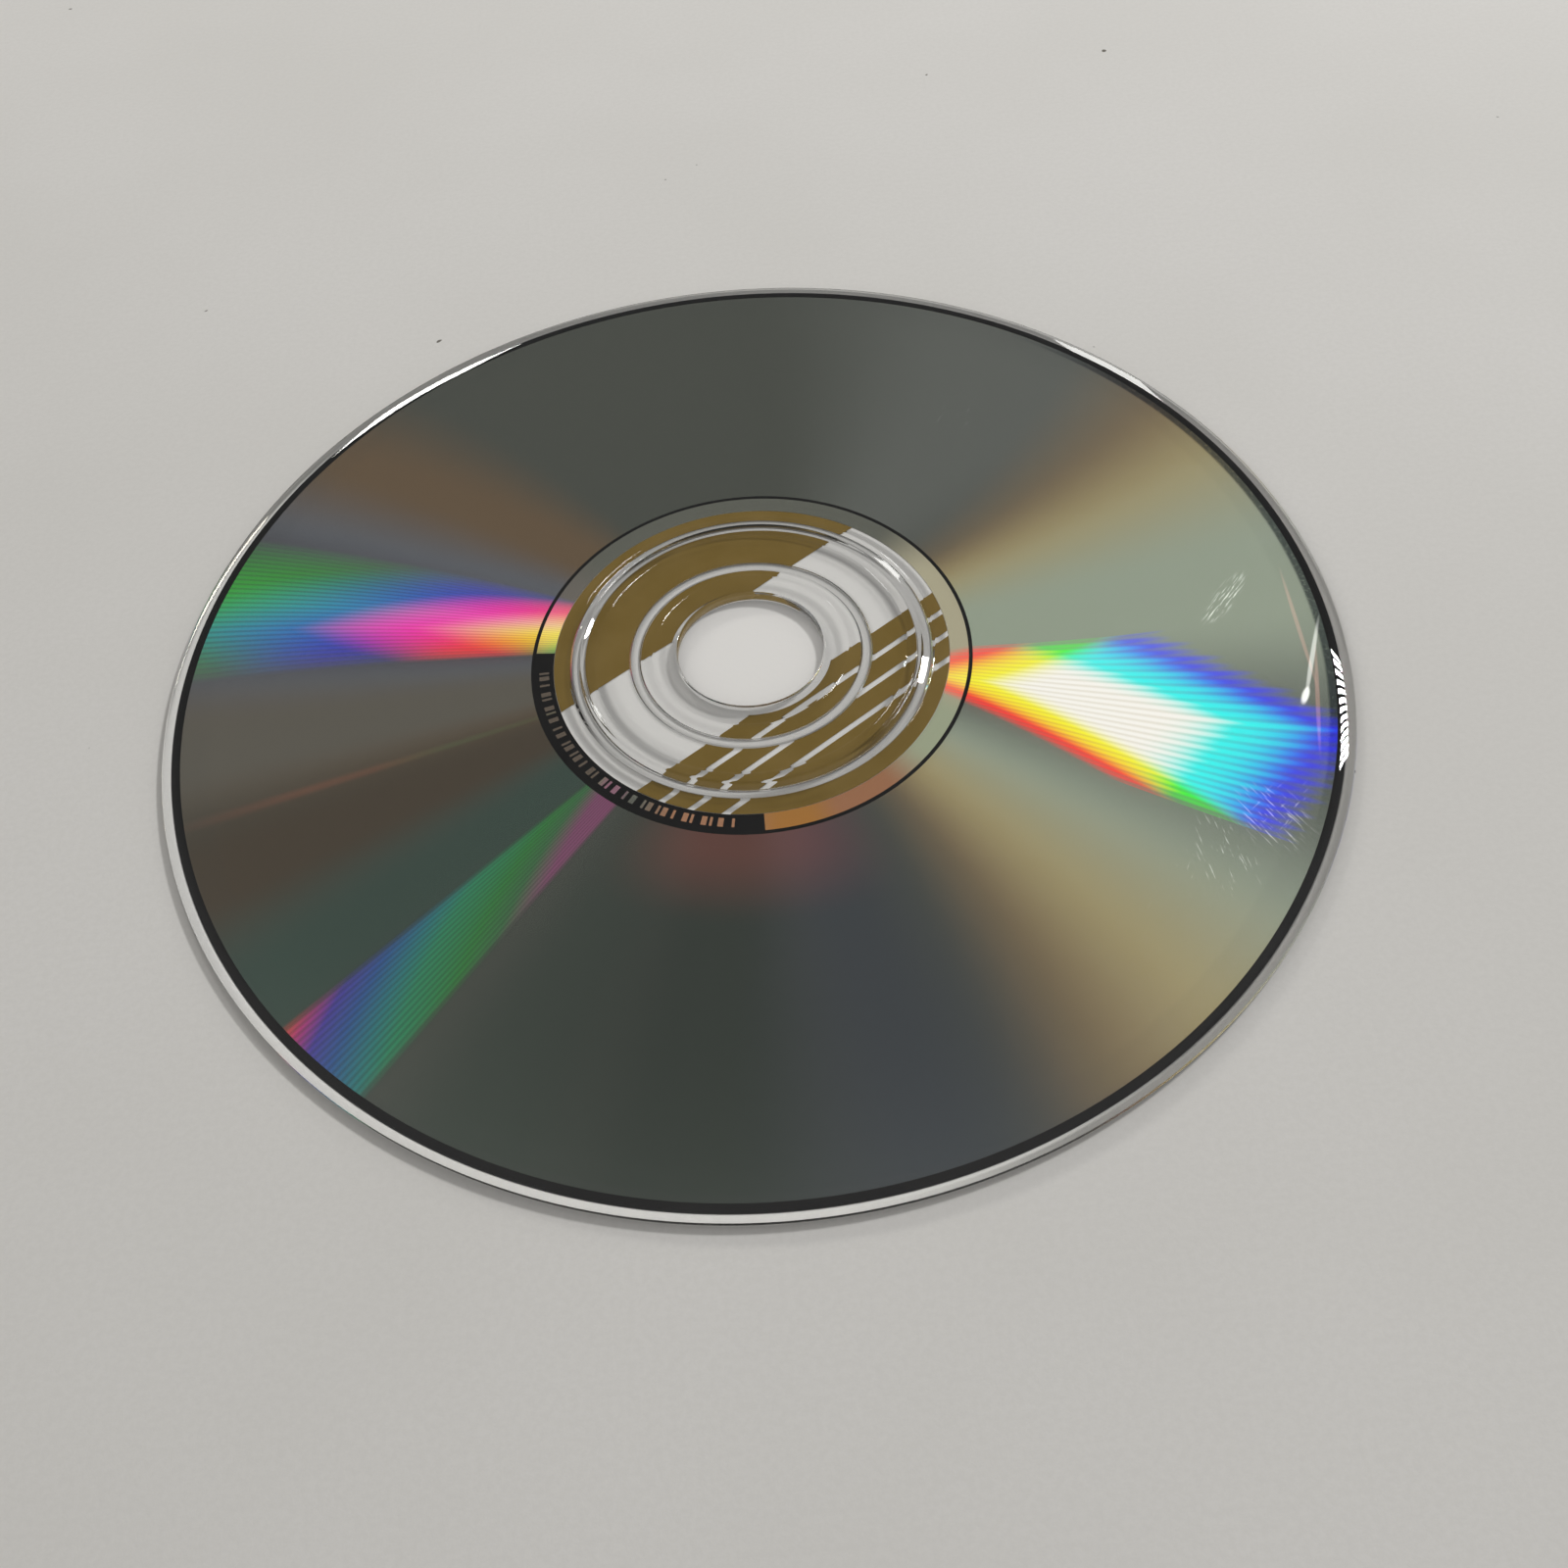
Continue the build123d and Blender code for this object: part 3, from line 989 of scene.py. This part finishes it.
def inkMaterial(name, own, shared):
    # screen-printed ink: a fine mesh in its height and a little cloudiness in its colour
    material, tree, surface = newMaterial(name)
    place = millimetres(tree)
    clouds = noise(tree, place, shared["cloudScale"], shared["cloudDetail"])
    grain = noise(tree, place, shared["grainScale"])
    shade = mixColour(tree, ramp(tree, clouds, *shared["cloudRange"]), own["colour"], own["faded"])
    grainy = ramp(tree, grain, *shared["grainRange"], 0.0, shared["grainDepth"])
    shade = mixColour(tree, grainy, shade, own["faded"])
    roughness = ramp(tree, clouds, *shared["roughnessRange"],
                     own["roughness"] - shared["smoother"], own["roughness"] + shared["rougher"])
    # bonded to the plastic above it has no gloss of its own, and its open underside has a coat
    coat = ramp(tree, facingUp(tree), *shared["coatRange"], shared["coat"], 0.0)
    setInputs(tree, surface, Base_Color=shade, Roughness=roughness, Specular_IOR_Level=shared["gloss"],
              Coat_Weight=coat, Coat_Roughness=shared["coatRoughness"])
    waves = [
        maths(tree, "SINE", maths(tree, "MULTIPLY", axis, 2 * pi / shared["meshPitch"]))
        for axis in splitParts(tree, place)[:2]
    ]
    addBump(tree, surface, maths(tree, "MULTIPLY", *waves), shared["meshStrength"], shared["meshHeight"])
    return material


def makeLabel(settings, band):
    inner, level, top = settings["inner"], settings["level"], settings["top"] + sink
    section = [
        (inner, settings["bottom"]), (settings["outer"], settings["bottom"]),
        (settings["outer"], top), (settings["filmOuter"], top), (settings["filmOuter"], level),
        (settings["filmInner"], level), (settings["filmInner"], top),
        (settings["bandOuter"], top), (settings["bandOuter"], level), (inner, level),
    ]
    start, sweep = band["windowStart"], band["windowEnd"] - band["windowStart"]
    label = turnedRing("blackLabel", section, settings["segments"])
    window = arcPlate("window", inner, settings["bandOuter"], level, top, start, sweep, band["windowSteps"])
    label = joinPieces([label, window])
    label.data.materials.append(inkMaterial("blackInk", settings, inkSettings))
    return label


blackLabel = makeLabel(labelSettings, bandSettings)
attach(blackLabel, "root")
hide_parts("label_print")
print("label ink printed")


# ochre ink on the hub, on both sides of a clear band
hubSettings = {
    "rings": ((8.4, 11.35), (12.55, 17.35), (18.65, 20.35)), "bottom": 0.02, "top": 0.04, "segments": 720,
    "bandAngle": 35.0, "bandWidth": 13.0,
    "stripeCount": 3, "stripePitch": 2.6, "stripeWidth": 0.6,
    "colour": tone(127, 103, 42), "faded": tone(136, 112, 55), "roughness": 0.5,
}


def clearGaps(settings):
    # the clear band and the pinstripes, as distances from the middle of the band
    halfBand, halfStripe = settings["bandWidth"] / 2, settings["stripeWidth"] / 2
    gaps = [(-halfBand, halfBand)]
    for index in range(1, settings["stripeCount"] + 1):
        middle = halfBand + settings["stripePitch"] * index
        gaps.append((middle - halfStripe, middle + halfStripe))
    return gaps


def makeHub(settings):
    bottom, gaps = settings["bottom"], clearGaps(settings)
    hub = joinPieces([
        turnedRing("hubInk", [(inner, bottom), (outer, bottom)], settings["segments"], closed=False)
        for inner, outer in settings["rings"]
    ])
    bandTurn = radians(settings["bandAngle"])
    across = Vector((sin(bandTurn), -cos(bandTurn), 0))
    bpy.ops.object.mode_set(mode="EDIT")
    for gap in gaps:
        for edge in gap:
            bpy.ops.mesh.select_all(action="SELECT")
            bpy.ops.mesh.bisect(plane_co=across * edge * mm, plane_no=across, use_fill=False)
    bpy.ops.mesh.select_mode(type="FACE")
    bpy.ops.mesh.select_all(action="DESELECT")
    endEdit()
    for face in hub.data.polygons:
        distance = face.center.dot(across) / mm
        face.select = any(low < distance < high for low, high in gaps)
    bpy.ops.object.mode_set(mode="EDIT")
    bpy.ops.mesh.delete(type="FACE")
    bpy.ops.mesh.select_all(action="SELECT")
    bpy.ops.mesh.normals_make_consistent(inside=False)
    endEdit()
    thickness = (settings["top"] + sink - bottom) * mm
    side = 1 if hub.data.polygons[0].normal.z > 0 else -1
    addModifier(hub, "SOLIDIFY", thickness=thickness, offset=side, use_even_offset=True)
    lowest = min(vertex.co.z for vertex in hub.data.vertices)
    hub.data.transform(Matrix.Translation((0, 0, bottom * mm - lowest)))
    hub.data.materials.append(inkMaterial("ochreInk", settings, inkSettings))
    return hub


hubInk = makeHub(hubSettings)
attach(hubInk, "root")
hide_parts("hub_print")
print("hub ink printed,", len(hubInk.data.polygons), "faces")
